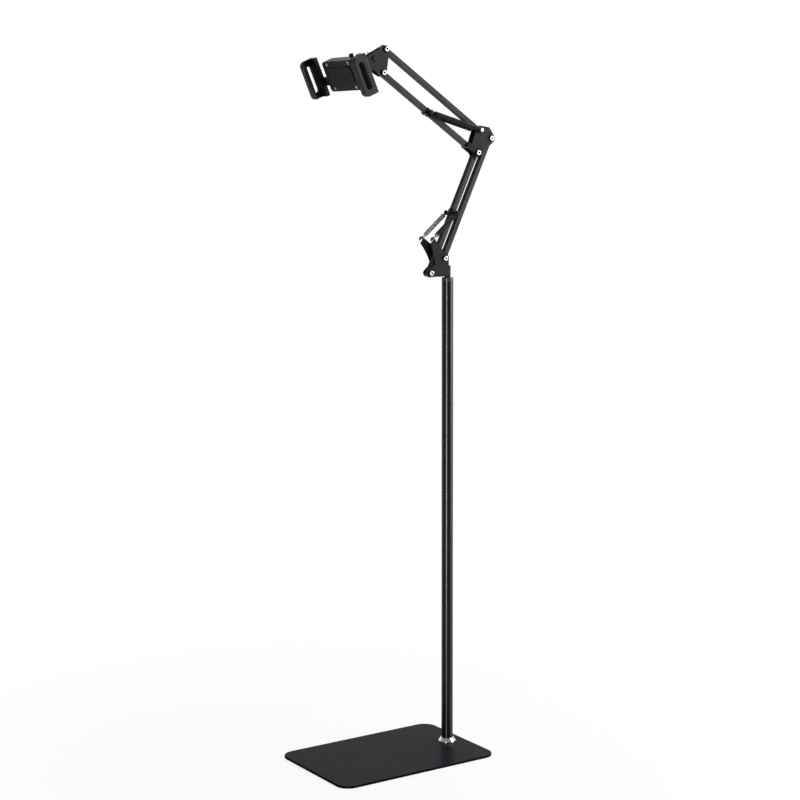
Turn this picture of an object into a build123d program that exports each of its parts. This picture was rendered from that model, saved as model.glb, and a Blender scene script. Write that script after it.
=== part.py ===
from build123d import *
import math
import os

# Adjustable floor stand: base plate, pole, spring-balanced two-part arm and a gripping holder.
# Millimetres and degrees. X runs along the base's long side, the arm reaches towards -X,
# Z is up, and the origin is the centre of the base's underside on the floor.

# General fits
hex_sides = 6
clearance = 0.3
running_fit = 0.05
seat_gap = 0.1
overrun = 5.0

# Base
base_length = 340.0
base_width = 230.0
base_corner = 26.0
base_thick = 4.5
base_edge_round = 1.2
mat_thick = 0.8
mat_inset = 3.0
pole_inset = 34.0

# Pole
pole_diameter = 22.0
pole_wall = 1.0
pole_section = 295.0
pole_section_count = 3
joiner_length = 50.0
joiner_bore = 12.0
cap_height = 8.2
cap_edge_round = 0.8
cap_sleeve = 52.0
insert_length = 28.0
base_screw_diameter = 8.0
base_screw_head = 15.0
base_screw_cone = 4.0
base_screw_hex = 5.0
base_screw_hex_depth = 2.5
base_screw_length = 26.0
collar_diameter = 33.5
collar_lip = 1.4
collar_height = 7.5
collar_top_diameter = 24.6

# Swivel pin between the pole's cap and the base bracket
pin_diameter = 10.0
pin_length = 46.0
pin_flange_diameter = 11.6
pin_flange = 2.0
pin_head_diameter = 6.4
pin_head = 2.0
pin_neck_diameter = 5.0

# Arm bars and the sheet metal that holds them
bar_width = 10.0
bar_wall = 1.2
bar_corner = 1.0
bar_inner_corner = 0.5
bar_end_reach = 5.0
plug_cap = 2.5
plug_cap_round = 2.0
plug_insert = 12.0
sheet = 2.0
thin_washer = 0.7
thin_washer_diameter = 11.0
lower_bar = 244.0
lower_bar_lean = 25.4
lower_link_back = 31.9
lower_link_drop = 26.6
upper_bar = 251.5
upper_bar_rise = 34.3
upper_link_back = 6.0
upper_link_rise = 41.8
rear_pivot_back = 10.6
rear_pivot_rise = 33.8
tongue_reach = 14.5
fork_reach = 27.0
fork_web = 4.0
fork_ear = 2.0
boss_radius = 8.5

# Base bracket: rounded back, two cheeks and two flared wings with hooks
bracket_back = 2.4
bracket_back_height = 20.0
bracket_floor_reach = 10.0
bracket_tab_radius = 7.1
bracket_tab_back = 3.5
bracket_waist_back = 24.0
bracket_waist_drop = 10.8
bracket_shoulder = 11.0
crease_back = 2.3
crease_rise = 11.9
crease_slope = 46.2
wing_length = 39.5
wing_top = 12.0
wing_top_start = 1.5
wing_foot = 31.5
wing_flare = 15.3
wing_hollow = 2.6
hook_outer_radius = 4.6
hook_inner_radius = 1.9
hook_side = 6.0
hook_rise = 42.5
hook_play = 0.8

# Pivot screws, washers and nuts
screw_diameter = 5.0
screw_head_diameter = 9.5
screw_head = 2.8
screw_head_round = 1.0
screw_hex = 4.0
screw_hex_depth = 2.0
screw_tip = 1.0
washer_diameter = 12.5
washer_thick = 0.8
nut_width = 8.0
nut_height = 4.5

# Elbow and head plates
elbow_boss_radius = 8.3
elbow_corner_radius = 4.0
elbow_top_corner_out = 19.5
elbow_top_corner_rise = 1.5
elbow_heel_back = 9.5
elbow_heel_rise = 11.0
plate_mark_radius = 4.5
plate_mark_width = 0.8
plate_mark_depth = 0.5
elbow_mark_out = 4.6
elbow_mark_rise = 10.1
head_boss_radius = 6.6
tilt_back = 24.9
tilt_drop = 17.3
head_nose_back = 8.6
head_nose_drop = 3.0
head_nose_radius = 8.8
head_heel_back = 9.0
head_heel_rise = 1.4

# Springs, their eyes, posts and clamp bands
spring_outer_diameter = 8.6
spring_wire = 1.4
gap_samples = 24
lower_spring_turns = 22
upper_spring_turns = 26
eye_radius = 4.0
eye_wire = 1.8
eye_neck = 2.4
eye_neck_length = 3.4
eye_flange_thick = 1.0
eye_plug_length = 6.0
lower_anchor_along = 122.0
upper_anchor_along = 130.0
upper_spring_side = 12.6
post_diameter = 4.0
post_overhang = 1.3
post_knob_diameter = 7.0
post_knob = 2.0
post_knob_round = 0.8
band_length = 12.0
band_wall = 1.4

# Tilt joint and neck
tilt_head_diameter = 10.0
tilt_head = 2.2
wing_nut_hub = 9.5
wing_nut_height = 7.0
wing_nut_span = 29.0
wing_nut_blade = 2.2
wing_nut_ear = 7.2
wing_nut_ear_rise = 1.8
wing_nut_web = 3.6
wing_nut_turn = 88.0
neck_boss_radius = 7.5
neck_flange_diameter = 26.0
neck_flange = 4.0
neck_length = 50.0

# Holder, along its own depth, height and width
holder_tilt = 23.3
holder_drop = 3.5
swivel_washer = 1.0
case_half_width = 50.0
case_half_height = 28.0
case_wall = 3.0
case_depth = 18.4
case_corner = 7.0
case_edge_round = 2.0
case_boss_wall = 1.5
cover_thick = 3.0
case_pad_thick = 1.6
case_pad_round = 0.8
case_pad_margin = 12.0
stud_diameter = 6.0
stud_head_diameter = 11.0
stud_head = 3.5
stud_hold = 14.0
rail_thick = 6.0
rail_height = 15.0
rail_gap = 5.0
rail_overlap = 18.0
rail_bite = 2.0
rail_end_inset = 3.0
jaw_gap = 168.0
jaw_height = 72.0
jaw_wall = 5.0
jaw_corner = 9.0
jaw_leg = 22.0
jaw_leg_thick = 7.0
jaw_slot = 12.0
jaw_lip = 5.0
jaw_lip_reach = 12.0
jaw_edge_round = 2.0
side_pad = 3.0
face_pad = 2.0
pad_margin = 7.0
window_end_margin = 11.0
window_corner = 5.0
jaw_back = 66.0
cover_screw_diameter = 3.0
cover_screw_head = 5.4
cover_screw_head_thick = 1.6
cover_screw_inset = 5.5
cover_screw_side_inset = 15.0
cover_screw_length = 9.0
cover_screw_hex = 2.5
cover_screw_hex_depth = 0.8
knob_diameter = 8.0
knob_height = 6.0
knob_stem = 4.0
knob_neck = 2.5
knob_inset = 7.0
knob_flutes = 10
knob_flute = 0.7

# Derived heights
base_top = mat_thick + base_thick
pole_x = base_length / 2 - pole_inset
pole_top = base_top + pole_section_count * pole_section
cap_top = pole_top + cap_height
bracket_bottom = cap_top + pin_flange
plate_inside = bar_width / 2 + thin_washer + seat_gap
plate_outside = plate_inside + sheet
neck_tongue = bar_width + 2 * thin_washer
fork_inside = plate_outside + seat_gap
fork_outside = fork_inside + fork_ear
screw_hole = screw_diameter / 2 + running_fit
post_hole = post_diameter / 2 + running_fit
spring_radius = (spring_outer_diameter - spring_wire) / 2
spring_bore = spring_radius - spring_wire / 2


def arm_point(back, rise):
    # A point of the arm's middle plane, measured back from the pole's axis and up from the bracket.
    return Vector(pole_x - back, 0, bracket_bottom + rise)


def slope(angle):
    # A direction in the arm's plane: 0 points to +X and 90 straight up.
    return Vector(math.cos(math.radians(angle)), 0, math.sin(math.radians(angle)))


def side_plane(origin, along, y=0.0):
    # A plane parallel to the arm, facing -Y, with its own X along the given direction.
    return Plane(origin=(origin.X, y, origin.Z), x_dir=along, z_dir=(0, -1, 0))


# Pivots of the arm in the pose of the photograph
lower_direction = slope(90 - lower_bar_lean)
upper_direction = slope(180 - upper_bar_rise)
pivot_rear = arm_point(rear_pivot_back, rear_pivot_rise)
pivot_front = pivot_rear + Vector(-lower_link_back, 0, -lower_link_drop)
elbow_rear = pivot_rear + lower_direction * lower_bar
elbow_shared = pivot_front + lower_direction * lower_bar
elbow_top = elbow_shared + Vector(upper_link_back, 0, upper_link_rise)
head_top = elbow_top + upper_direction * upper_bar
head_bottom = elbow_shared + upper_direction * upper_bar
tilt_pivot = head_top + Vector(-tilt_back, 0, -tilt_drop)

# Springs: hook on the wing, anchor posts on the bars
crease_direction = slope(180 + crease_slope)
crease_start = pivot_rear + Vector(-crease_back, 0, crease_rise)
wing_up = slope(180 - (90 - crease_slope))
flare_sin = math.sin(math.radians(wing_flare))
flare_cos = math.cos(math.radians(wing_flare))
hook_centre = crease_start + crease_direction * hook_side + wing_up * (hook_rise * flare_cos)
lower_spring_side = plate_inside + sheet / 2 + hook_rise * flare_sin
lower_anchor = pivot_front + lower_direction * lower_anchor_along
upper_anchor = elbow_shared + upper_direction * upper_anchor_along

# Holder directions: out of the holder's face, down its height
face_out = slope(180 + holder_tilt)
face_down = slope(holder_tilt - 90)
holder_axis = tilt_pivot + face_down * holder_drop


def holder_point(depth, down=0.0, side=0.0):
    return holder_axis + face_out * depth + face_down * down + Vector(0, side, 0)


def holder_plane(depth, down=0.0, side=0.0):
    # Faces out of the holder, with its X along +Y and its Y down the holder's height.
    return Plane(origin=holder_point(depth, down, side), x_dir=(0, 1, 0), z_dir=face_out)


def holder_side_plane(side, depth=0.0, down=0.0):
    # Faces -Y, with its X out of the holder's face and its Y up the holder's height.
    return Plane(origin=holder_point(depth, down, side), x_dir=face_out, z_dir=(0, 1, 0))


def finish(part, name):
    part.label = name
    export_step(part, f"parts/{name}.step")


def finish_group(parts, name):
    # Like pieces that share one name, as separate solids.
    group = Compound(label=name, children=[solid for part in parts for solid in part.solids()])
    export_step(group, f"parts/{name}.step")


os.makedirs("parts", exist_ok=True)


# Base mat
def make_base_mat():
    with BuildPart() as base_mat:
        with BuildSketch():
            RectangleRounded(
                base_length - 2 * mat_inset,
                base_width - 2 * mat_inset,
                base_corner - mat_inset,
            )
            with Locations((pole_x, 0)):
                Circle(base_screw_head / 2 + clearance, mode=Mode.SUBTRACT)
        extrude(amount=mat_thick)
    finish(base_mat.part, "base_mat")


# Base plate with a rounded top edge and a countersunk hole under the pole
def make_base_plate():
    with BuildPart() as base_plate:
        with BuildSketch(Plane.XY.offset(mat_thick)):
            RectangleRounded(base_length, base_width, base_corner)
        extrude(amount=base_thick)
        fillet(base_plate.faces().sort_by(Axis.Z)[-1].edges(), base_edge_round)
        with Locations(Plane((pole_x, 0, mat_thick), x_dir=(1, 0, 0), z_dir=(0, 0, -1))):
            CounterSinkHole(
                base_screw_diameter / 2 + clearance,
                base_screw_head / 2 + clearance,
                base_thick + overrun,
            )
    finish(base_plate.part, "base_plate")


# Countersunk screw that pulls the pole onto the base
def make_base_screw():
    with BuildPart() as base_screw:
        with BuildSketch(Plane.XZ):
            with BuildLine():
                Polyline(
                    (pole_x, mat_thick),
                    (pole_x + base_screw_head / 2, mat_thick),
                    (pole_x + base_screw_diameter / 2, mat_thick + base_screw_cone),
                    (pole_x + base_screw_diameter / 2, mat_thick + base_screw_length),
                    (pole_x, mat_thick + base_screw_length),
                    close=True,
                )
            make_face()
        revolve(axis=Axis((pole_x, 0, 0), (0, 0, 1)))
        with BuildSketch(Plane.XY.offset(mat_thick)):
            with Locations((pole_x, 0)):
                RegularPolygon(base_screw_hex / 2, hex_sides, major_radius=False)
        extrude(amount=base_screw_hex_depth, mode=Mode.SUBTRACT)
    finish(base_screw.part, "base_screw")


# Chrome trim collar round the pole's foot
def make_base_collar():
    inner = pole_diameter / 2 + running_fit
    with BuildPart() as base_collar:
        with BuildSketch(Plane.XZ):
            with BuildLine():
                Polyline(
                    (pole_x + inner, base_top),
                    (pole_x + collar_diameter / 2, base_top),
                    (pole_x + collar_diameter / 2, base_top + collar_lip),
                    (pole_x + collar_top_diameter / 2, base_top + collar_height),
                    (pole_x + inner, base_top + collar_height),
                    close=True,
                )
            make_face()
        revolve(axis=Axis((pole_x, 0, 0), (0, 0, 1)))
    finish(base_collar.part, "base_collar")


# Pole sections, butted end to end
def make_pole_tube(index, name):
    with BuildPart() as pole_tube:
        with BuildSketch(Plane.XY.offset(base_top + index * pole_section)):
            with Locations((pole_x, 0)):
                Circle(pole_diameter / 2)
                Circle(pole_diameter / 2 - pole_wall, mode=Mode.SUBTRACT)
        extrude(amount=pole_section)
    finish(pole_tube.part, name)


# Joiner inside the pole, half in each section
def make_pole_joiner(index):
    seam = base_top + index * pole_section
    with BuildPart() as pole_joiner:
        with BuildSketch(Plane.XY.offset(seam - joiner_length / 2)):
            with Locations((pole_x, 0)):
                Circle(pole_diameter / 2 - pole_wall - running_fit)
                Circle(joiner_bore / 2, mode=Mode.SUBTRACT)
        extrude(amount=joiner_length)
    return pole_joiner.part


# Threaded insert in the pole's foot
def make_pole_insert():
    with BuildPart() as pole_insert:
        with BuildSketch(Plane.XY.offset(base_top)):
            with Locations((pole_x, 0)):
                Circle(pole_diameter / 2 - pole_wall - running_fit)
                Circle(base_screw_diameter / 2 + running_fit, mode=Mode.SUBTRACT)
        extrude(amount=insert_length)
    finish(pole_insert.part, "pole_insert")


# Cap at the pole's top, with the bore that the swivel pin turns in
def make_pole_cap():
    with BuildPart() as pole_cap:
        with BuildSketch(Plane.XY.offset(pole_top)):
            with Locations((pole_x, 0)):
                Circle(pole_diameter / 2)
        extrude(amount=cap_height)
        fillet(pole_cap.faces().sort_by(Axis.Z)[-1].edges(), cap_edge_round)
        with BuildSketch(Plane.XY.offset(pole_top - cap_sleeve)):
            with Locations((pole_x, 0)):
                Circle(pole_diameter / 2 - pole_wall - running_fit)
        extrude(amount=cap_sleeve)
        with BuildSketch(Plane.XY.offset(cap_top - pin_length - clearance)):
            with Locations((pole_x, 0)):
                Circle(pin_diameter / 2 + running_fit)
        extrude(amount=pin_length + clearance + overrun, mode=Mode.SUBTRACT)
    finish(pole_cap.part, "pole_cap")


# Swivel pin riveted to the bracket's floor
def make_swivel_pin():
    floor_top = bracket_bottom + sheet
    with BuildPart() as swivel_pin:
        with BuildSketch(Plane.XZ):
            with BuildLine():
                Polyline(
                    (pole_x, cap_top - pin_length),
                    (pole_x + pin_diameter / 2, cap_top - pin_length),
                    (pole_x + pin_diameter / 2, cap_top + seat_gap),
                    (pole_x + pin_flange_diameter / 2, cap_top + seat_gap),
                    (pole_x + pin_flange_diameter / 2, bracket_bottom),
                    (pole_x + pin_neck_diameter / 2, bracket_bottom),
                    (pole_x + pin_neck_diameter / 2, floor_top),
                    (pole_x + pin_head_diameter / 2, floor_top),
                    (pole_x + pin_head_diameter / 2, floor_top + pin_head),
                    (pole_x, floor_top + pin_head),
                    close=True,
                )
            make_face()
        revolve(axis=Axis((pole_x, 0, 0), (0, 0, 1)))
    finish(swivel_pin.part, "swivel_pin")


def wing_plane(side):
    # A wing leans outward about its crease: local X runs down the crease, local Y up the wing.
    up = wing_up * flare_cos + Vector(0, side * flare_sin, 0)
    origin = crease_start + Vector(0, side * (plate_inside + sheet / 2), 0)
    return Plane(origin=origin, x_dir=crease_direction, z_dir=crease_direction.cross(up))


# Base bracket, bent from one sheet
def make_base_bracket():
    back_centre = pole_x - bracket_back
    back_edge = rear_pivot_back - bracket_back
    foot = -rear_pivot_rise
    waist = (-bracket_waist_back, -bracket_waist_drop)
    tab = (-lower_link_back, -lower_link_drop)
    cut_size = (2 * plate_outside, 2 * plate_outside)
    with BuildPart() as base_bracket:
        for side in (-1, 1):
            y = side * (plate_inside + sheet / 2)
            with BuildSketch(side_plane(pivot_rear, (1, 0, 0), y)) as cheek:
                with BuildLine():
                    Polyline(
                        (back_edge, foot),
                        (back_edge, foot + bracket_back_height),
                        (back_edge, 0),
                        (0, bracket_shoulder),
                        (-crease_back, crease_rise),
                        waist,
                        (tab[0] - bracket_tab_back, tab[1] + bracket_tab_radius),
                        (tab[0], foot),
                        close=True,
                    )
                make_face()
                Circle(boss_radius)
                with Locations(tab):
                    Circle(bracket_tab_radius)
                with Locations((0, 0), tab):
                    Circle(screw_hole, mode=Mode.SUBTRACT)
            extrude(amount=sheet / 2, both=True)
            with BuildSketch(wing_plane(side)):
                with BuildLine():
                    wing_top_end = wing_top_start + wing_top
                    hollow = ((wing_top_end + wing_foot) / 2 - wing_hollow, wing_length / 2)
                    Line((0, -sheet / 2), (wing_top_start, wing_length))
                    Line((wing_top_start, wing_length), (wing_top_end, wing_length))
                    ThreePointArc((wing_top_end, wing_length), hollow, (wing_foot, -sheet / 2))
                    Line((wing_foot, -sheet / 2), (0, -sheet / 2))
                make_face()
                with Locations((hook_side, hook_rise)):
                    Circle(hook_outer_radius)
                    Circle(hook_inner_radius, mode=Mode.SUBTRACT)
                mouth_height = hook_rise - wing_length
                with Locations((hook_side, hook_rise)):
                    Rectangle(
                        2 * hook_outer_radius,
                        mouth_height,
                        align=(Align.MIN, Align.MAX),
                        mode=Mode.SUBTRACT,
                    )
            extrude(amount=sheet / 2, both=True)
        with BuildSketch(Plane.XY.offset(bracket_bottom)):
            with Locations((back_centre, 0)):
                Circle(plate_outside)
                Circle(plate_inside, mode=Mode.SUBTRACT)
                Rectangle(*cut_size, align=(Align.MAX, Align.CENTER), mode=Mode.SUBTRACT)
        extrude(amount=bracket_back_height)
        with BuildSketch(Plane.XY.offset(bracket_bottom)):
            with Locations((back_centre, 0)):
                Circle(plate_outside)
                Rectangle(bracket_floor_reach, 2 * plate_outside, align=(Align.MAX, Align.CENTER))
            with Locations((back_centre - bracket_floor_reach, 0)):
                Rectangle(*cut_size, align=(Align.MAX, Align.CENTER), mode=Mode.SUBTRACT)
            with Locations((pole_x, 0)):
                Circle(pin_neck_diameter / 2 + running_fit, mode=Mode.SUBTRACT)
        extrude(amount=sheet)
    finish(base_bracket.part, "base_bracket")


# Square tube bar; start_reach and end_reach are how far it runs past its two pivots
def make_bar(name, start, direction, length, start_reach, end_reach, cross_holes):
    with BuildPart() as bar:
        with BuildSketch(Plane(origin=start - direction * start_reach, x_dir=(0, 1, 0), z_dir=direction)):
            RectangleRounded(bar_width, bar_width, bar_corner)
            inner = bar_width - 2 * bar_wall
            RectangleRounded(inner, inner, bar_inner_corner, mode=Mode.SUBTRACT)
        extrude(amount=length + start_reach + end_reach)
        with BuildSketch(side_plane(start, direction)):
            for along, radius in cross_holes:
                with Locations((along, 0)):
                    Circle(radius)
        extrude(amount=bar_width, both=True, mode=Mode.SUBTRACT)
    finish(bar.part, name)


# Plug that closes a bar's end: an insert inside the tube and a rounded cap outside
def make_end_plug(pivot, outward):
    inner = bar_width - 2 * bar_wall - 2 * running_fit
    with BuildPart() as plug:
        with BuildSketch(Plane(origin=pivot + outward * bar_end_reach, x_dir=(0, 1, 0), z_dir=outward)):
            RectangleRounded(bar_width, bar_width, bar_corner)
        extrude(amount=plug_cap)
        top = plug.faces().sort_by(Axis(pivot, outward))[-1]
        fillet(top.edges().filter_by(Axis.Y), plug_cap_round)
        with BuildSketch(Plane(origin=pivot + outward * bar_end_reach, x_dir=(0, 1, 0), z_dir=-outward)):
            RectangleRounded(inner, inner, bar_inner_corner)
        extrude(amount=plug_insert)
        with BuildSketch(side_plane(pivot, outward)):
            Circle(screw_diameter / 2 + running_fit)
        extrude(amount=bar_width, both=True, mode=Mode.SUBTRACT)
    return plug.part


# Tongue of the lower front bar at the shared elbow pivot: an insert in the tube and one flat ear
def make_tongue():
    inner = bar_width - 2 * bar_wall - 2 * running_fit
    tube_end = elbow_shared - lower_direction * tongue_reach
    with BuildPart() as tongue:
        with BuildSketch(Plane(origin=tube_end, x_dir=(0, 1, 0), z_dir=-lower_direction)):
            RectangleRounded(inner, inner, bar_inner_corner)
        extrude(amount=plug_insert)
        with BuildSketch(side_plane(elbow_shared, lower_direction)):
            Circle(bar_width / 2)
            Rectangle(tongue_reach, bar_width, align=(Align.MAX, Align.CENTER))
            Circle(screw_hole + clearance, mode=Mode.SUBTRACT)
        extrude(amount=bar_width / 2, both=True)
    finish(tongue.part, "lower_front_bar_tongue")


# Fork of the upper bottom bar: an insert in the tube, a web, and two ears outside the elbow plates
def make_fork():
    inner = bar_width - 2 * bar_wall - 2 * running_fit
    tube_end = elbow_shared + upper_direction * fork_reach
    with BuildPart() as fork:
        with BuildSketch(Plane(origin=tube_end, x_dir=(0, 1, 0), z_dir=upper_direction)):
            RectangleRounded(inner, inner, bar_inner_corner)
        extrude(amount=plug_insert)
        with BuildSketch(Plane(origin=tube_end, x_dir=(0, 1, 0), z_dir=-upper_direction)):
            Rectangle(2 * fork_outside, bar_width)
        extrude(amount=fork_web)
        for side in (-1, 1):
            with BuildSketch(side_plane(elbow_shared, upper_direction, side * fork_inside)):
                Circle(bar_width / 2)
                Rectangle(fork_reach, bar_width, align=(Align.MIN, Align.CENTER))
                Circle(screw_hole, mode=Mode.SUBTRACT)
            extrude(amount=-side * fork_ear)
    finish(fork.part, "upper_bottom_bar_fork")


# Elbow plate: a rounded outline round its three pivots, with a pressed ring on its outer face
def make_elbow_plate(name, side):
    rear = elbow_rear - elbow_shared
    top = elbow_top - elbow_shared
    corner = (top.X + elbow_top_corner_out, top.Z + elbow_top_corner_rise)
    heel = (-elbow_heel_back, elbow_heel_rise)
    inside = plate_inside if side < 0 else -plate_outside
    with BuildPart() as elbow_plate:
        with BuildSketch(side_plane(elbow_shared, (1, 0, 0), -inside)):
            with Locations((0, 0), (rear.X, rear.Z), (top.X, top.Z)):
                Circle(elbow_boss_radius)
            with Locations(corner, heel):
                Circle(elbow_corner_radius)
            make_hull()
            with Locations((0, 0), (rear.X, rear.Z), (top.X, top.Z)):
                Circle(screw_hole, mode=Mode.SUBTRACT)
        extrude(amount=sheet)
        with BuildSketch(side_plane(elbow_shared, (1, 0, 0), side * plate_outside)):
            with Locations((elbow_mark_out, elbow_mark_rise)):
                Circle(plate_mark_radius)
                Circle(plate_mark_radius - plate_mark_width, mode=Mode.SUBTRACT)
        extrude(amount=side * plate_mark_depth, mode=Mode.SUBTRACT)
    finish(elbow_plate.part, name)


# Head plate round the upper bars' ends and the tilt pivot
def make_head_plate(name, side):
    bottom = head_bottom - head_top
    tilt = (-tilt_back, -tilt_drop)
    nose = (-tilt_back - head_nose_back, -tilt_drop - head_nose_drop)
    heel = (bottom.X - head_heel_back, bottom.Z + head_heel_rise)
    inside = plate_inside if side < 0 else -plate_outside
    with BuildPart() as head_plate:
        with BuildSketch(side_plane(head_top, (1, 0, 0), -inside)):
            with Locations((0, 0), (bottom.X, bottom.Z)):
                Circle(head_boss_radius)
            with Locations(nose):
                Circle(head_nose_radius)
            with Locations(heel):
                Circle(elbow_corner_radius)
            make_hull()
            with Locations((0, 0), (bottom.X, bottom.Z), tilt):
                Circle(screw_hole, mode=Mode.SUBTRACT)
        extrude(amount=sheet)
    finish(head_plate.part, name)


# Screw through all that lies within the given half width, its head on the near side
def make_pivot_screw(pivot, half_width):
    head_face = -half_width - washer_thick
    far_end = half_width + washer_thick + nut_height + screw_tip
    with BuildPart() as screw:
        with BuildSketch(side_plane(pivot, (1, 0, 0), head_face)):
            Circle(screw_head_diameter / 2)
        extrude(amount=screw_head)
        fillet(screw.faces().sort_by(Axis.Y)[0].edges(), screw_head_round)
        with BuildSketch(side_plane(pivot, (1, 0, 0), head_face - screw_head)):
            RegularPolygon(screw_hex / 2, hex_sides, major_radius=False)
        extrude(amount=-screw_hex_depth, mode=Mode.SUBTRACT)
        with BuildSketch(side_plane(pivot, (1, 0, 0), head_face)):
            Circle(screw_diameter / 2)
        extrude(amount=head_face - far_end)
    return screw.part


def make_ring(pivot, y, thickness, outer_radius, bore_radius):
    # A flat ring round a pivot, from y towards +Y.
    with BuildPart() as ring:
        with BuildSketch(side_plane(pivot, (1, 0, 0), y)):
            Circle(outer_radius)
            Circle(bore_radius, mode=Mode.SUBTRACT)
        extrude(amount=-thickness)
    return ring.part


def make_wide_washers(pivots):
    rings = []
    for pivot, half_width in pivots:
        for y in (-half_width - washer_thick, half_width):
            rings.append(make_ring(pivot, y, washer_thick, washer_diameter / 2, screw_hole))
    return rings


def make_thin_washers(pivots):
    rings = []
    for pivot, half_width in pivots:
        for y in (-plate_inside + seat_gap / 2, bar_width / 2 + seat_gap / 2):
            rings.append(make_ring(pivot, y, thin_washer, thin_washer_diameter / 2, screw_hole))
    return rings


# Hexagon nut on the far side
def make_nut(pivot, half_width):
    with BuildPart() as nut:
        with BuildSketch(side_plane(pivot, (1, 0, 0), half_width + washer_thick)):
            RegularPolygon(nut_width / 2, hex_sides, major_radius=False)
            Circle(screw_hole, mode=Mode.SUBTRACT)
        extrude(amount=-nut_height)
    return nut.part


# Post across the arm that carries a pair of springs, with a knob at each end
def make_post(name, pivot, side_reach, diameter):
    with BuildPart() as post:
        with BuildSketch(side_plane(pivot, (1, 0, 0))):
            Circle(diameter / 2)
        extrude(amount=side_reach, both=True)
        for side in (-1, 1):
            with BuildSketch(side_plane(pivot, (1, 0, 0), side * side_reach)):
                Circle(post_knob_diameter / 2)
            extrude(amount=-side * post_knob)
        ends = post.faces().filter_by(GeomType.PLANE).sort_by(Axis.Y)
        fillet([edge for face in (ends[0], ends[-1]) for edge in face.edges()], post_knob_round)
    finish(post.part, name)


# Clamp band round a bar, where the post passes through it
def make_band(name, centre, direction):
    inner = bar_width + 2 * running_fit
    outer = inner + 2 * band_wall
    band_start = centre - direction * (band_length / 2)
    with BuildPart() as band:
        with BuildSketch(Plane(origin=band_start, x_dir=(0, 1, 0), z_dir=direction)):
            RectangleRounded(outer, outer, bar_corner + band_wall)
            RectangleRounded(inner, inner, bar_corner, mode=Mode.SUBTRACT)
        extrude(amount=band_length)
        with BuildSketch(side_plane(centre, direction)):
            Circle(post_hole)
        extrude(amount=outer, both=True, mode=Mode.SUBTRACT)
    finish(band.part, name)


# Springs. Each coil is set in from the flanges of its eyes by one wire.
eye_length = eye_radius + eye_neck_length + eye_flange_thick
eye_bore = eye_radius - eye_wire / 2


def biarc(start, start_tangent, end, end_tangent):
    # Two arcs that leave start and reach end along the given unit directions.
    chord = end - start
    both = start_tangent + end_tangent
    turn = 2 * (1 - start_tangent.dot(end_tangent))
    lean = chord.dot(both)
    reach = (math.sqrt(lean * lean + turn * chord.dot(chord)) - lean) / turn
    joint = (start + end + (start_tangent - end_tangent) * reach) / 2
    TangentArc(start, joint, tangent=start_tangent)
    TangentArc(joint, end, tangent=chord - both * reach)


def helix_point(frame, rise, angle):
    flat = frame.x_dir * math.cos(angle) + frame.y_dir * math.sin(angle)
    return frame.origin + flat * spring_radius + frame.z_dir * (rise * angle)


def helix_tangent(frame, rise, angle):
    flat = frame.y_dir * math.cos(angle) - frame.x_dir * math.sin(angle)
    return (flat * spring_radius + frame.z_dir * rise).normalized()


# Coil of a spring, one unbroken tube of half turns with a short straight tail at each end
def make_coil(name, start, end, turns):
    axis = (end - start).normalized()
    rise = ((end - start).length - 2 * spring_wire) / (2 * math.pi * turns)
    frame = Plane(origin=start + axis * spring_wire, x_dir=(0, 1, 0), z_dir=axis)
    angles = [math.pi * half_turn for half_turn in range(2 * turns + 1)]
    points = [helix_point(frame, rise, angle) for angle in angles]
    tangents = [helix_tangent(frame, rise, angle) for angle in angles]
    tail_start = points[0] - tangents[0] * spring_wire
    with BuildPart() as coil:
        with BuildLine():
            Line(tail_start, points[0])
            for half_turn in range(2 * turns):
                following = half_turn + 1
                biarc(points[half_turn], tangents[half_turn], points[following], tangents[following])
            Line(points[-1], points[-1] + tangents[-1] * spring_wire)
        with BuildSketch(Plane(origin=tail_start, z_dir=tangents[0])):
            Circle(spring_wire / 2)
        sweep()
    print_least_gap(name, frame, rise, turns)
    return coil.part


def print_least_gap(name, frame, rise, turns):
    # Least gap between neighbouring turns, from points along the wire's centre line.
    angles = [2 * math.pi * step / gap_samples for step in range(gap_samples * turns + 1)]
    line = [helix_point(frame, rise, angle) for angle in angles]
    least = min(
        (line[here] - line[there]).length
        for here in range(len(line))
        for there in range(here + gap_samples // 2, min(here + 2 * gap_samples, len(line)))
    )
    print(name, "turns", turns, "least gap", round(least - spring_wire, 3))


# Eye that closes one end of a spring: ring, neck, flange and a plug inside the coil
def make_eye(centre, direction, ring_axis):
    with BuildPart() as eye:
        with BuildSketch(Plane(origin=centre, x_dir=direction, z_dir=direction.cross(ring_axis))):
            with Locations((eye_radius, 0)):
                Circle(eye_wire / 2)
        revolve(axis=Axis(centre, ring_axis))
        with BuildSketch(Plane(origin=centre + direction * eye_radius, z_dir=direction)):
            Circle(eye_neck / 2)
        extrude(amount=eye_neck_length)
        flange_start = centre + direction * (eye_length - eye_flange_thick)
        with BuildSketch(Plane(origin=flange_start, z_dir=direction)):
            Circle(spring_outer_diameter / 2)
        extrude(amount=eye_flange_thick)
        with BuildSketch(Plane(origin=centre + direction * eye_length, z_dir=direction)):
            Circle(spring_bore - 2 * seat_gap)
        extrude(amount=eye_plug_length)
    return eye.part


def ring_shift(post_diameter):
    # How far an eye's centre lies from the post that it pulls on.
    return eye_bore - post_diameter / 2 - clearance


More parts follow.
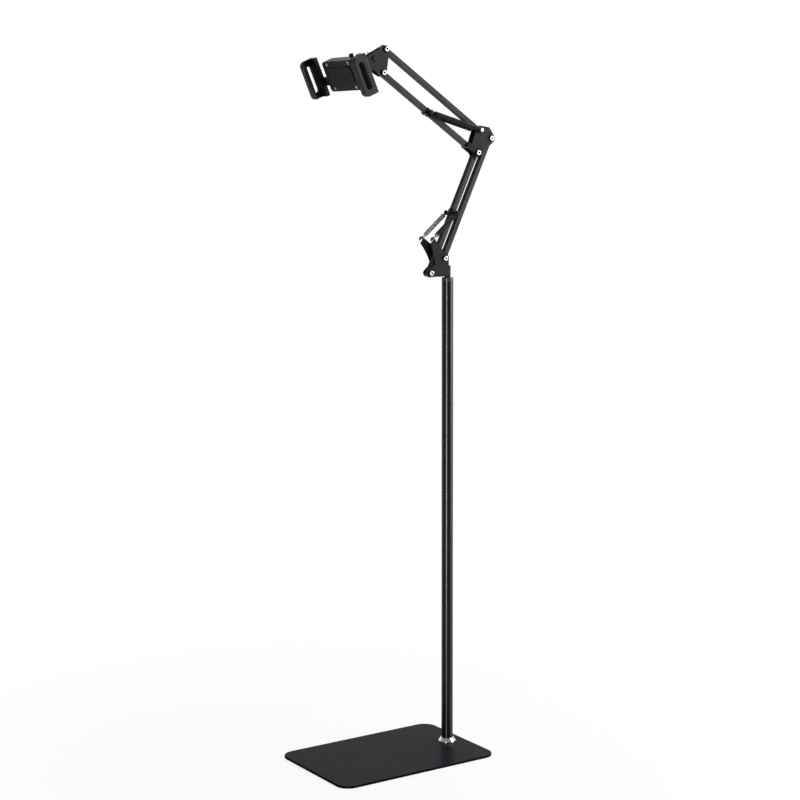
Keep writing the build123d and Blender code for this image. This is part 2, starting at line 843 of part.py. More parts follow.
# Two springs, one each side of the arm, with their eyes. The start shift and ring axis are those
# of the eye at the start, and the end shift that of the eye at the end.
def make_spring_pair(name, start, end, offset, turns, start_shift, start_ring_axis, end_shift, start_place):
    pull = (end - start).normalized()
    coils = []
    start_eyes = []
    end_eyes = []
    for side in (-1, 1):
        out = Vector(0, side * offset, 0)
        start_eye = start + pull * start_shift + out
        end_eye = end - pull * end_shift + out
        inset = pull * (eye_length + seat_gap)
        coils.append(make_coil(name, start_eye + inset, end_eye - inset, turns))
        start_eyes.append(make_eye(start_eye, pull, start_ring_axis))
        end_eyes.append(make_eye(end_eye, -pull, Vector(0, 1, 0)))
    finish_group(coils, f"{name}_springs")
    finish_group(start_eyes, f"{name}_spring_{start_place}_eyes")
    finish_group(end_eyes, f"{name}_spring_bar_eyes")


def make_springs():
    across = Vector(0, 1, 0)
    lower_pull = (lower_anchor - hook_centre).normalized()
    hook_shift = eye_radius + hook_inner_radius - eye_wire / 2 - hook_play
    make_spring_pair(
        "lower", hook_centre, lower_anchor, lower_spring_side, lower_spring_turns,
        hook_shift, lower_pull.cross(across), ring_shift(post_diameter), "hook",
    )
    make_spring_pair(
        "upper", elbow_top, upper_anchor, upper_spring_side, upper_spring_turns,
        ring_shift(screw_diameter), across, ring_shift(post_diameter), "elbow",
    )


# Tilt bolt with a plain round head on the near side
def make_tilt_bolt():
    far_end = plate_outside + washer_thick + wing_nut_height + screw_tip
    with BuildPart() as tilt_bolt:
        with BuildSketch(side_plane(tilt_pivot, (1, 0, 0), -plate_outside)):
            Circle(tilt_head_diameter / 2)
        extrude(amount=tilt_head)
        fillet(tilt_bolt.faces().sort_by(Axis.Y)[0].edges(), screw_head_round)
        with BuildSketch(side_plane(tilt_pivot, (1, 0, 0), -plate_outside)):
            Circle(screw_diameter / 2)
        extrude(amount=-plate_outside - far_end)
    finish(tilt_bolt.part, "tilt_bolt")


# Wing nut on the far side: a round hub with two ears that stand away from the plate
def make_wing_nut():
    base = plate_outside + washer_thick + seat_gap
    middle = base + wing_nut_height / 2
    blade_origin = Vector(tilt_pivot.X, middle, tilt_pivot.Z)
    blade = Plane(origin=blade_origin, x_dir=slope(wing_nut_turn), z_dir=slope(wing_nut_turn + 90))
    ear_out = (wing_nut_span - wing_nut_ear) / 2
    with BuildPart() as wing_nut:
        with BuildSketch(side_plane(tilt_pivot, (1, 0, 0), base)):
            Circle(wing_nut_hub / 2)
        extrude(amount=-wing_nut_height)
        with BuildSketch(blade):
            Rectangle(2 * ear_out, wing_nut_web)
            with Locations((-ear_out, wing_nut_ear_rise), (ear_out, wing_nut_ear_rise)):
                Circle(wing_nut_ear / 2)
        extrude(amount=wing_nut_blade / 2, both=True)
        with BuildSketch(side_plane(tilt_pivot, (1, 0, 0), base)):
            Circle(screw_diameter / 2 + running_fit)
        extrude(amount=-wing_nut_height - overrun, mode=Mode.SUBTRACT)
    finish(wing_nut.part, "wing_nut")


# Neck from the tilt bolt to the holder's swivel
def make_neck():
    with BuildPart() as neck:
        with BuildSketch(side_plane(tilt_pivot, face_out)):
            Circle(neck_boss_radius)
            with Locations((0, holder_drop)):
                Rectangle(2 * neck_boss_radius, neck_tongue, align=(Align.MIN, Align.CENTER))
        extrude(amount=neck_tongue / 2, both=True)
        with BuildSketch(holder_plane(neck_boss_radius)):
            Circle(neck_tongue / 2)
        extrude(amount=neck_length - neck_boss_radius)
        with BuildSketch(holder_plane(neck_length - neck_flange)):
            Circle(neck_flange_diameter / 2)
        extrude(amount=neck_flange)
        with BuildSketch(side_plane(tilt_pivot, face_out)):
            Circle(screw_diameter / 2 + running_fit)
        extrude(amount=neck_tongue, both=True, mode=Mode.SUBTRACT)
        with BuildSketch(holder_plane(neck_length)):
            Circle(stud_diameter / 2)
        extrude(amount=-stud_hold - seat_gap, mode=Mode.SUBTRACT)
    finish(neck.part, "holder_neck")


# Holder depths, measured out from the tilt axis
washer_start = neck_length + seat_gap
case_back = washer_start + swivel_washer + seat_gap
case_front = case_back + case_depth
cover_front = case_front + cover_thick
rail_front = jaw_back + rail_bite
rail_back = rail_front - rail_thick
rail_offset = (rail_gap + rail_height) / 2

# Jaw depths, out from the tilt axis, and places across the holder
leg_front = jaw_back + jaw_leg_thick
slot_start = leg_front + face_pad
slot_end = slot_start + jaw_slot
lip_start = slot_end + face_pad
jaw_front = lip_start + jaw_lip
jaw_depth = jaw_front - jaw_back
window_height = jaw_height - 2 * window_end_margin
jaw_inside = jaw_gap / 2
wall_inside = jaw_inside + side_pad
jaw_outside = wall_inside + jaw_wall
lip_inside = jaw_outside - jaw_lip_reach
leg_inside = jaw_outside - jaw_leg


# Washer between the neck's flange and the case
def make_swivel_washer():
    with BuildPart() as washer:
        with BuildSketch(holder_plane(washer_start)):
            Circle(neck_flange_diameter / 2)
            Circle(stud_diameter / 2 + running_fit, mode=Mode.SUBTRACT)
        extrude(amount=swivel_washer)
    finish(washer.part, "swivel_washer")


# Stud that holds the case on the neck and lets it turn
def make_swivel_stud():
    head_start = case_back + case_wall + seat_gap
    shank_start = neck_length - stud_hold
    with BuildPart() as stud:
        with BuildSketch(holder_plane(head_start)):
            Circle(stud_head_diameter / 2)
        extrude(amount=stud_head)
        with BuildSketch(holder_plane(shank_start)):
            Circle(stud_diameter / 2)
        extrude(amount=head_start - shank_start)
    finish(stud.part, "swivel_stud")


def cover_screw_places():
    across = 2 * (case_half_width - cover_screw_side_inset)
    down = 2 * (case_half_height - cover_screw_inset)
    return GridLocations(across, down, 2, 2)


# Case: a shallow tray with slots in its ends for the jaws' rails
def make_case():
    inner_width = 2 * (case_half_width - case_wall)
    inner_height = 2 * (case_half_height - case_wall)
    with BuildPart() as case:
        with BuildSketch(holder_plane(case_back)):
            RectangleRounded(2 * case_half_width, 2 * case_half_height, case_corner)
        extrude(amount=case_depth)
        fillet(case.faces().sort_by(Axis(holder_axis, face_out))[0].edges(), case_edge_round)
        with BuildSketch(holder_plane(case_back + case_wall)):
            RectangleRounded(inner_width, inner_height, case_corner - case_wall)
        extrude(amount=case_depth, mode=Mode.SUBTRACT)
        with BuildSketch(holder_plane(case_back)):
            with cover_screw_places():
                Circle(cover_screw_diameter / 2 + case_boss_wall)
        extrude(amount=case_depth)
        with BuildSketch(holder_plane(case_back)):
            Circle(stud_diameter / 2 + running_fit)
        extrude(amount=case_depth, mode=Mode.SUBTRACT)
        with BuildSketch(holder_plane(case_front)):
            with cover_screw_places():
                Circle(cover_screw_diameter / 2 + running_fit)
        extrude(amount=-cover_screw_length, mode=Mode.SUBTRACT)
        for side in (-1, 1):
            slot = holder_plane(rail_back - seat_gap, side * rail_offset, side * case_half_width)
            with BuildSketch(slot):
                Rectangle(2 * case_wall + clearance, rail_height + 2 * seat_gap)
            extrude(amount=rail_thick + 2 * seat_gap, mode=Mode.SUBTRACT)
        with BuildSketch(knob_plane(case_half_height)):
            Circle(knob_stem / 2 + running_fit)
        extrude(amount=-case_corner, mode=Mode.SUBTRACT)
    finish(case.part, "holder_case")


# Cover over the case's open side
def make_cover():
    with BuildPart() as cover:
        with BuildSketch(holder_plane(case_front)):
            RectangleRounded(2 * case_half_width, 2 * case_half_height, case_corner)
        extrude(amount=cover_thick)
        with Locations(holder_plane(cover_front)):
            with cover_screw_places():
                CounterBoreHole(
                    cover_screw_diameter / 2 + running_fit,
                    cover_screw_head / 2 + seat_gap,
                    cover_screw_head_thick,
                    cover_thick,
                )
    finish(cover.part, "holder_cover")


def make_cover_screws():
    head_start = cover_front - cover_screw_head_thick
    with BuildPart() as screws:
        with BuildSketch(holder_plane(head_start)):
            with cover_screw_places():
                Circle(cover_screw_head / 2)
        extrude(amount=cover_screw_head_thick)
        with BuildSketch(holder_plane(head_start)):
            with cover_screw_places():
                Circle(cover_screw_diameter / 2)
        extrude(amount=case_front - cover_screw_length + seat_gap - head_start)
        with BuildSketch(holder_plane(cover_front)):
            with cover_screw_places():
                RegularPolygon(cover_screw_hex / 2, hex_sides, major_radius=False)
        extrude(amount=-cover_screw_hex_depth, mode=Mode.SUBTRACT)
    finish(screws.part, "cover_screws")


# Rubber face that the back of a held device rests on
def make_case_pad():
    with BuildPart() as case_pad:
        with BuildSketch(holder_plane(cover_front)):
            width = 2 * (case_half_width - case_pad_margin)
            height = 2 * (case_half_height - case_pad_margin)
            RectangleRounded(width, height, case_corner)
        extrude(amount=case_pad_thick)
        fillet(case_pad.faces().sort_by(Axis(holder_axis, face_out))[-1].edges(), case_pad_round)
    finish(case_pad.part, "holder_pad")


# Outline of the long window in a jaw's side
def window_outline(side):
    with BuildSketch(holder_side_plane(side * jaw_outside, slot_start + jaw_slot / 2)) as outline:
        RectangleRounded(jaw_slot, window_height, window_corner)
    return outline.sketch


# Jaw: rail, rear leg, side wall with its long window, and the front lip
def make_jaw(name, side):
    inward = Align.MIN if side < 0 else Align.MAX
    middle = jaw_back + jaw_depth / 2
    with BuildPart() as jaw:
        with BuildSketch(holder_side_plane(side * jaw_outside, middle)):
            RectangleRounded(jaw_depth, jaw_height, jaw_corner)
            Rectangle(jaw_depth / 2, jaw_height, align=(Align.MAX, Align.CENTER))
        extrude(amount=-side * jaw_leg)
        outer = jaw.faces().sort_by(Axis.Y)[0 if side < 0 else -1]
        fillet(outer.edges(), jaw_edge_round)
        with BuildSketch(holder_plane(leg_front, 0, side * wall_inside)):
            Rectangle(jaw_leg, 2 * jaw_height, align=(inward, Align.CENTER))
        extrude(amount=lip_start - leg_front, mode=Mode.SUBTRACT)
        with BuildSketch(holder_plane(lip_start, 0, side * lip_inside)):
            Rectangle(jaw_leg, 2 * jaw_height, align=(inward, Align.CENTER))
        extrude(amount=jaw_lip + overrun, mode=Mode.SUBTRACT)
        extrude(window_outline(side), amount=-side * (jaw_wall + side_pad), mode=Mode.SUBTRACT)
        rail_end = side * (jaw_outside - rail_end_inset)
        with BuildSketch(holder_plane(rail_back, side * rail_offset, rail_end)):
            Rectangle(
                jaw_outside - rail_end_inset + rail_overlap,
                rail_height,
                align=(inward, Align.CENTER),
            )
        extrude(amount=rail_thick)
    finish(jaw.part, name)


# Rubber liner of a jaw: leg face, side wall and lip face in one piece, with the same window
def make_jaw_liner(name, side):
    inward = Align.MIN if side < 0 else Align.MAX
    height = jaw_height - 2 * pad_margin
    with BuildPart() as liner:
        with BuildSketch(holder_plane(leg_front, 0, side * wall_inside)):
            Rectangle(wall_inside - leg_inside, height, align=(inward, Align.CENTER))
        extrude(amount=lip_start - leg_front)
        with BuildSketch(holder_plane(slot_start, 0, side * jaw_inside)):
            Rectangle(jaw_leg, 2 * height, align=(inward, Align.CENTER))
        extrude(amount=jaw_slot, mode=Mode.SUBTRACT)
        with BuildSketch(holder_plane(slot_end, 0, side * lip_inside)):
            Rectangle(jaw_leg, 2 * height, align=(inward, Align.CENTER))
        extrude(amount=face_pad, mode=Mode.SUBTRACT)
        extrude(window_outline(side), amount=-side * (jaw_wall + side_pad), mode=Mode.SUBTRACT)
    finish(liner.part, name)


# Plane across the top of the holder at the lock knob's axis
def knob_plane(up):
    side = -(case_half_width - knob_inset)
    origin = holder_point((rail_back + rail_front) / 2, -up, side)
    return Plane(origin=origin, x_dir=(0, 1, 0), z_dir=-face_down)


# Lock knob: a fluted head on a stem that presses on the near jaw's rail
def make_knob():
    stem_end = rail_offset + rail_height / 2 + seat_gap
    head_start = case_half_height + knob_neck
    with BuildPart() as knob:
        with BuildSketch(knob_plane(stem_end)):
            Circle(knob_stem / 2)
        extrude(amount=head_start - stem_end)
        with BuildSketch(knob_plane(head_start)):
            Circle(knob_diameter / 2)
            with PolarLocations(knob_diameter / 2, knob_flutes):
                Circle(knob_flute, mode=Mode.SUBTRACT)
        extrude(amount=knob_height)
    finish(knob.part, "lock_knob")


# Build everything
make_base_mat()
make_base_plate()
make_base_screw()
make_base_collar()
make_pole_tube(0, "pole_lower_tube")
make_pole_tube(1, "pole_middle_tube")
make_pole_tube(2, "pole_upper_tube")
finish_group([make_pole_joiner(1), make_pole_joiner(2)], "pole_joiners")
make_pole_insert()
make_pole_cap()
make_swivel_pin()
make_base_bracket()

make_bar(
    "lower_rear_bar", pivot_rear, lower_direction, lower_bar, bar_end_reach, bar_end_reach,
    [(0, screw_hole), (lower_bar, screw_hole)],
)
make_bar(
    "lower_front_bar", pivot_front, lower_direction, lower_bar, bar_end_reach, -tongue_reach,
    [(0, screw_hole), (lower_anchor_along, post_hole)],
)
make_bar(
    "upper_top_bar", elbow_top, upper_direction, upper_bar, bar_end_reach, bar_end_reach,
    [(0, screw_hole), (upper_bar, screw_hole)],
)
make_bar(
    "upper_bottom_bar", elbow_shared, upper_direction, upper_bar, -fork_reach, bar_end_reach,
    [(upper_anchor_along, post_hole), (upper_bar, screw_hole)],
)
finish_group(
    [make_end_plug(pivot_rear, -lower_direction), make_end_plug(elbow_rear, lower_direction)],
    "lower_rear_bar_plugs",
)
finish(make_end_plug(pivot_front, -lower_direction), "lower_front_bar_plug")
finish_group(
    [make_end_plug(elbow_top, -upper_direction), make_end_plug(head_top, upper_direction)],
    "upper_top_bar_plugs",
)
finish(make_end_plug(head_bottom, upper_direction), "upper_bottom_bar_plug")
make_tongue()
make_fork()
make_elbow_plate("elbow_plate_near", -1)
make_elbow_plate("elbow_plate_far", 1)
make_head_plate("head_plate_near", -1)
make_head_plate("head_plate_far", 1)
bracket_pivots = ((pivot_rear, plate_outside), (pivot_front, plate_outside))
elbow_pivots = ((elbow_rear, plate_outside), (elbow_shared, fork_outside))
head_pivots = ((head_top, plate_outside), (head_bottom, plate_outside))
for place, pivots in (("bracket", bracket_pivots), ("elbow", elbow_pivots), ("head", head_pivots)):
    finish_group([make_pivot_screw(*pivot) for pivot in pivots], f"{place}_screws")
    finish_group([make_nut(*pivot) for pivot in pivots], f"{place}_nuts")
    finish_group(make_wide_washers(pivots) + make_thin_washers(pivots), f"{place}_washers")
make_post("lower_spring_post", lower_anchor, lower_spring_side + post_overhang, post_diameter)
make_post("upper_spring_post", upper_anchor, upper_spring_side + post_overhang, post_diameter)
make_post("elbow_spring_post", elbow_top, upper_spring_side + post_overhang, screw_diameter)
make_band("lower_spring_band", lower_anchor, lower_direction)
make_band("upper_spring_band", upper_anchor, upper_direction)
make_springs()
make_tilt_bolt()
make_wing_nut()
make_neck()
make_swivel_washer()
make_swivel_stud()
make_case()
make_cover()
make_cover_screws()
make_case_pad()
make_jaw("near_jaw", -1)
make_jaw("far_jaw", 1)
make_jaw_liner("near_jaw_liner", -1)
make_jaw_liner("far_jaw_liner", 1)
make_knob()
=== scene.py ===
import math

import bpy
from mathutils import Matrix, Vector


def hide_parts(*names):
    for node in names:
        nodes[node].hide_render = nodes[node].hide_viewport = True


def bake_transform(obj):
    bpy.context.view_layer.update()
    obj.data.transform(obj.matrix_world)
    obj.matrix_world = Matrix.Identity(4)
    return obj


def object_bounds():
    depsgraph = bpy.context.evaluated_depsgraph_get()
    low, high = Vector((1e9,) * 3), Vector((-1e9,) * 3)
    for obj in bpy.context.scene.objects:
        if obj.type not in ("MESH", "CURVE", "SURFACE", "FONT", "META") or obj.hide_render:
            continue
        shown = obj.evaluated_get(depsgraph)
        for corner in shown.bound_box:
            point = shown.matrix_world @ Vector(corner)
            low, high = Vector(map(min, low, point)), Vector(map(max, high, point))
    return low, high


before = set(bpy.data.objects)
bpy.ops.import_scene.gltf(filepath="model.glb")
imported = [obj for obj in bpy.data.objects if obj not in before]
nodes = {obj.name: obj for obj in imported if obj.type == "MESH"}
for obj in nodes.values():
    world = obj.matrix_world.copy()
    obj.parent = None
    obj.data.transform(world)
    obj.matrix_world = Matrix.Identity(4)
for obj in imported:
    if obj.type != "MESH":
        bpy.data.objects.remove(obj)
cad_low, cad_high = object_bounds()

# Lengths in metres, angles in degrees. Small parts are given in millimetres times MM.
# Shades are linear reflectances, noise scales are per metre.
MM = 0.001

# The photograph's camera
IMAGE_PIXELS = 800
FOCAL_PIXELS = 1800.14
SENSOR_WIDTH_MM = 36.0
CAMERA_PLACE = Vector((-1.79936, -2.74083, 1.11824))
CAMERA_YAW = -33.706
CAMERA_PITCH = 7.648
CAMERA_ROLL = -0.148


def camera_axes():
    # Right, up and forward directions of the camera.
    yaw, pitch, roll = (math.radians(angle) for angle in (CAMERA_YAW, CAMERA_PITCH, CAMERA_ROLL))
    forward = Vector((-math.sin(yaw) * math.cos(pitch), math.cos(yaw) * math.cos(pitch), -math.sin(pitch)))
    level_right = Vector((math.cos(yaw), math.sin(yaw), 0))
    level_up = level_right.cross(forward)
    right = level_right * math.cos(roll) + level_up * math.sin(roll)
    up = level_up * math.cos(roll) - level_right * math.sin(roll)
    return right, up, forward


def look_matrix(place, right, up, forward):
    turn = Matrix((right, up, -forward)).transposed()
    return Matrix.Translation(place) @ turn.to_4x4()


def make_camera():
    data = bpy.data.cameras.new("camera")
    data.sensor_width = SENSOR_WIDTH_MM
    data.lens = SENSOR_WIDTH_MM * FOCAL_PIXELS / IMAGE_PIXELS
    camera = bpy.data.objects.new("camera", data)
    camera.matrix_world = look_matrix(CAMERA_PLACE, *camera_axes())
    bpy.context.scene.collection.objects.link(camera)
    bpy.context.scene.camera = camera


# Shader helpers
EDGE_RADIUS = 0.4 * MM
EDGE_SAMPLES = 4
OPENNESS_SAMPLES = 8
VIOLET_RED_SHARE = 0.2
EVEN = (1.0, 1.0, 1.0)
WHITE = (1.0, 1.0, 1.0, 1.0)


def new_material(name):
    made = bpy.data.materials.new(name)
    made.use_nodes = True
    tree = made.node_tree
    shader = tree.nodes["Principled BSDF"]
    return made, tree, shader


def add_node(tree, kind, **settings):
    node = tree.nodes.new(kind)
    for key, value in settings.items():
        setattr(node, key, value)
    return node


def noise(tree, scale, detail=3.0, roughness=0.55, stretch=EVEN):
    # Noise in the object's own coordinates, stretched along chosen axes.
    place = add_node(tree, "ShaderNodeTexCoord")
    mapping = add_node(tree, "ShaderNodeMapping")
    mapping.inputs["Scale"].default_value = stretch
    texture = add_node(tree, "ShaderNodeTexNoise")
    texture.inputs["Scale"].default_value = scale
    texture.inputs["Detail"].default_value = detail
    texture.inputs["Roughness"].default_value = roughness
    tree.links.new(place.outputs["Object"], mapping.inputs["Vector"])
    tree.links.new(mapping.outputs["Vector"], texture.inputs["Vector"])
    return texture.outputs["Fac"]


def ramp(tree, source, low=0.0, high=1.0, start=0.3, end=0.7):
    # Goes from low to high while the source goes from start to end.
    fit = add_node(tree, "ShaderNodeMapRange", clamp=True)
    fit.inputs["From Min"].default_value = start
    fit.inputs["From Max"].default_value = end
    fit.inputs["To Min"].default_value = low
    fit.inputs["To Max"].default_value = high
    tree.links.new(source, fit.inputs["Value"])
    return fit.outputs["Result"]


def mix_colours(tree, factor, first, second):
    # The first colour where the factor is 0, the second where it is 1.
    mix = add_node(tree, "ShaderNodeMix", data_type="RGBA")
    tree.links.new(factor, mix.inputs["Factor"])
    for socket, value in (("A", first), ("B", second)):
        target = [i for i in mix.inputs if i.name == socket and i.type == "RGBA"][0]
        if isinstance(value, tuple):
            target.default_value = (*value, 1.0)
        else:
            tree.links.new(value, target)
    return [o for o in mix.outputs if o.type == "RGBA"][0]


def soft_edges(tree):
    # Normals that round every sharp edge slightly.
    node = add_node(tree, "ShaderNodeBevel", samples=EDGE_SAMPLES)
    node.inputs["Radius"].default_value = EDGE_RADIUS
    return node.outputs["Normal"]


def bump(tree, height, strength, distance):
    # Surface relief on top of softened edges.
    node = add_node(tree, "ShaderNodeBump")
    node.inputs["Strength"].default_value = strength
    node.inputs["Distance"].default_value = distance
    tree.links.new(height, node.inputs["Height"])
    tree.links.new(soft_edges(tree), node.inputs["Normal"])
    return node.outputs["Normal"]


def open_share(tree, reach, closed=0.45, opened=0.9):
    # 1 on open faces, falling towards 0 in recesses and close corners.
    shade = add_node(tree, "ShaderNodeAmbientOcclusion", samples=OPENNESS_SAMPLES)
    shade.inputs["Distance"].default_value = reach
    return ramp(tree, shade.outputs["AO"], start=closed, end=opened)


def grey(value, warmth=0.0, violet=0.0):
    # A near-neutral colour, slightly warm or cool, or slightly violet.
    red = value * (1.0 + warmth + VIOLET_RED_SHARE * violet)
    blue = value * (1.0 - warmth + violet)
    return red, value, blue


# Painted shade: faces darken where pieces sit close together
PAINTED_SHADE_REACH = 14.0 * MM
PAINTED_SHADE_LEVEL = 0.22

# Enamel: fine grain, faint clouding, and lighter specks
ENAMEL_CLOUD_SCALE = 14.0
ENAMEL_SPECK_SCALE = 420.0
ENAMEL_SPECK_START = 0.62
ENAMEL_SPECK_END = 0.8
ENAMEL_SPECK_SHARE = 0.2
ENAMEL_WORN_TINT = 1.35
ENAMEL_SPECK_TINT = 2.0
ENAMEL_SMOOTHER = 0.05
ENAMEL_ROUGHER = 0.07
ENAMEL_RELIEF = 0.12


def enamel(name, shade, roughness, specular, grain, grain_height, violet=0.0):
    made, tree, shader = new_material(name)
    fine = noise(tree, grain, detail=2.0)
    cloud = noise(tree, ENAMEL_CLOUD_SCALE, detail=4.0)
    speck = noise(tree, ENAMEL_SPECK_SCALE, detail=2.0, roughness=0.7)
    tint = grey(shade, violet=violet)
    worn = grey(shade * ENAMEL_WORN_TINT, violet=violet)
    dull = mix_colours(tree, ramp(tree, cloud), tint, worn)
    specks = ramp(tree, speck, high=ENAMEL_SPECK_SHARE, start=ENAMEL_SPECK_START, end=ENAMEL_SPECK_END)
    flecked = mix_colours(tree, specks, dull, grey(shade * ENAMEL_SPECK_TINT))
    # painted shade: the colour darkens where pieces sit close together
    with_painted_shade = mix_colours(tree, open_share(tree, PAINTED_SHADE_REACH), grey(shade * PAINTED_SHADE_LEVEL), flecked)
    gloss = ramp(tree, cloud, roughness - ENAMEL_SMOOTHER, roughness + ENAMEL_ROUGHER)
    tree.links.new(with_painted_shade, shader.inputs["Base Color"])
    tree.links.new(gloss, shader.inputs["Roughness"])
    tree.links.new(bump(tree, fine, ENAMEL_RELIEF, grain_height), shader.inputs["Normal"])
    shader.inputs["Specular IOR Level"].default_value = specular
    return made


# Bare metal: fine brush marks, slightly dull patches and, if asked, painted shade that blackens recesses
METAL_CLOUD_SCALE = 60.0
METAL_WARMTH = 0.01
METAL_DULL_TINT = 0.86
METAL_SMOOTHEST = 0.7
METAL_ROUGHEST = 1.6
METAL_RELIEF = 0.25
METAL_MARK_HEIGHT = 0.01 * MM
RECESS_SHADE_REACH = 5.5 * MM
RECESS_SHADE_CLOSED = 0.6
RECESS_SHADE_OPENED = 0.95


def polished(name, shade, roughness, brush=EVEN, brush_scale=260.0, recess_shade=0.0):
    made, tree, shader = new_material(name)
    marks = noise(tree, brush_scale, roughness=0.6, stretch=brush)
    cloud = noise(tree, METAL_CLOUD_SCALE)
    clean = grey(shade, -METAL_WARMTH)
    dull = grey(shade * METAL_DULL_TINT, METAL_WARMTH)
    tint = mix_colours(tree, ramp(tree, cloud), clean, dull)
    # painted shade: recesses such as hex sockets turn near black
    if recess_shade:
        unshaded_share = open_share(tree, RECESS_SHADE_REACH, RECESS_SHADE_CLOSED, RECESS_SHADE_OPENED)
        tint = mix_colours(tree, unshaded_share, grey(shade * (1.0 - recess_shade)), tint)
    gloss = ramp(tree, marks, roughness * METAL_SMOOTHEST, roughness * METAL_ROUGHEST)
    tree.links.new(tint, shader.inputs["Base Color"])
    tree.links.new(gloss, shader.inputs["Roughness"])
    tree.links.new(bump(tree, marks, METAL_RELIEF, METAL_MARK_HEIGHT), shader.inputs["Normal"])
    shader.inputs["Metallic"].default_value = 1.0
    return made


# Moulded plastic: a fine spark-eroded texture
MOULD_GRAIN = 900.0
MOULD_GRAIN_HEIGHT = 0.06 * MM
MOULD_RELIEF = 0.12
MOULD_CLOUD_SCALE = 25.0
MOULD_PALE_TINT = 1.4
MOULD_PALE_WARMTH = -0.02
MOULD_GLOSS_SPREAD = 0.06


def moulded(name, shade, roughness, specular, painted_shade_reach=PAINTED_SHADE_REACH, closed=0.45, opened=0.9):
    made, tree, shader = new_material(name)
    cells = add_node(tree, "ShaderNodeTexVoronoi", feature="SMOOTH_F1")
    cells.inputs["Scale"].default_value = MOULD_GRAIN
    place = add_node(tree, "ShaderNodeTexCoord")
    tree.links.new(place.outputs["Object"], cells.inputs["Vector"])
    cloud = noise(tree, MOULD_CLOUD_SCALE, detail=4.0)
    pale = grey(shade * MOULD_PALE_TINT, MOULD_PALE_WARMTH)
    tint = mix_colours(tree, ramp(tree, cloud), grey(shade), pale)
    # painted shade: the colour darkens in recesses and close corners
    openness = open_share(tree, painted_shade_reach, closed, opened)
    with_painted_shade = mix_colours(tree, openness, grey(shade * PAINTED_SHADE_LEVEL), tint)
    gloss = ramp(tree, cloud, roughness - MOULD_GLOSS_SPREAD, roughness + MOULD_GLOSS_SPREAD)
    relief = bump(tree, cells.outputs["Distance"], MOULD_RELIEF, MOULD_GRAIN_HEIGHT)
    tree.links.new(with_painted_shade, shader.inputs["Base Color"])
    tree.links.new(gloss, shader.inputs["Roughness"])
    tree.links.new(relief, shader.inputs["Normal"])
    shader.inputs["Specular IOR Level"].default_value = specular
    return made


# Rubber: matte, dusty where it is handled
DUST_SCALE = 90.0
DUST_START = 0.4
DUST_END = 0.75
DUST_TINT = 1.9
DUST_WARMTH = 0.03
RUBBER_GRAIN = 1500.0
RUBBER_GRAIN_HEIGHT = 0.05 * MM
RUBBER_RELIEF = 0.4
RUBBER_SMOOTHEST = 0.7
RUBBER_ROUGHEST = 0.9


def rubber(name, shade, specular):
    made, tree, shader = new_material(name)
    dust = noise(tree, DUST_SCALE, detail=5.0, roughness=0.7)
    fine = noise(tree, RUBBER_GRAIN, detail=2.0)
    dusty = ramp(tree, dust, start=DUST_START, end=DUST_END)
    tint = mix_colours(tree, dusty, grey(shade), grey(shade * DUST_TINT, DUST_WARMTH))
    tree.links.new(tint, shader.inputs["Base Color"])
    tree.links.new(ramp(tree, dust, RUBBER_SMOOTHEST, RUBBER_ROUGHEST), shader.inputs["Roughness"])
    tree.links.new(bump(tree, fine, RUBBER_RELIEF, RUBBER_GRAIN_HEIGHT), shader.inputs["Normal"])
    shader.inputs["Specular IOR Level"].default_value = specular
    return made


# The pole's deep gloss enamel over drawn tube: faint orange peel and long drawing marks
POLE_PEEL_SCALE = 160.0
POLE_PEEL_HEIGHT = 0.02 * MM
POLE_RELIEF = 0.03
POLE_MARK_SCALE = 90.0
POLE_MARK_STRETCH = (1.0, 1.0, 0.01)
POLE_CLOUD_SCALE = 5.0
POLE_SHADE = 0.0025
POLE_CLOUD_SHADE = 0.0040
POLE_CLOUD_WARMTH = -0.03
POLE_SMOOTHEST = 0.24
POLE_ROUGHEST = 0.29
POLE_SPECULAR = 0.5
POLE_STREAK = 0.95
POLE_STREAK_TURN = 0.25


def gloss_pole_material():
    made, tree, shader = new_material("pole_gloss_enamel")
    peel = noise(tree, POLE_PEEL_SCALE, detail=2.0)
    drawn = noise(tree, POLE_MARK_SCALE, detail=2.0, roughness=0.5, stretch=POLE_MARK_STRETCH)
    cloud = noise(tree, POLE_CLOUD_SCALE)
    clouded = grey(POLE_CLOUD_SHADE, POLE_CLOUD_WARMTH)
    tint = mix_colours(tree, ramp(tree, cloud), grey(POLE_SHADE), clouded)
    tree.links.new(tint, shader.inputs["Base Color"])
    tree.links.new(ramp(tree, drawn, POLE_SMOOTHEST, POLE_ROUGHEST), shader.inputs["Roughness"])
    tree.links.new(bump(tree, peel, POLE_RELIEF, POLE_PEEL_HEIGHT), shader.inputs["Normal"])
    tangent = add_node(tree, "ShaderNodeTangent", direction_type="RADIAL", axis="Z")
    tree.links.new(tangent.outputs["Tangent"], shader.inputs["Tangent"])
    shader.inputs["Anisotropic"].default_value = POLE_STREAK
    shader.inputs["Anisotropic Rotation"].default_value = POLE_STREAK_TURN
    shader.inputs["Specular IOR Level"].default_value = POLE_SPECULAR
    return made


# Finishes by name
FINE_GRAIN = {"grain": 900.0, "grain_height": 0.04 * MM}
SHEET_GRAIN = {"grain": 700.0, "grain_height": 0.05 * MM}
BAR_GRAIN = {"grain": 800.0, "grain_height": 0.03 * MM}
SMALL_PART_GRAIN = {"grain": 500.0, "grain_height": 0.02 * MM}
FINE_MARKS = 900.0
WIRE_MARKS = 1400.0
ALONG_TUBE = (1.0, 1.0, 0.05)

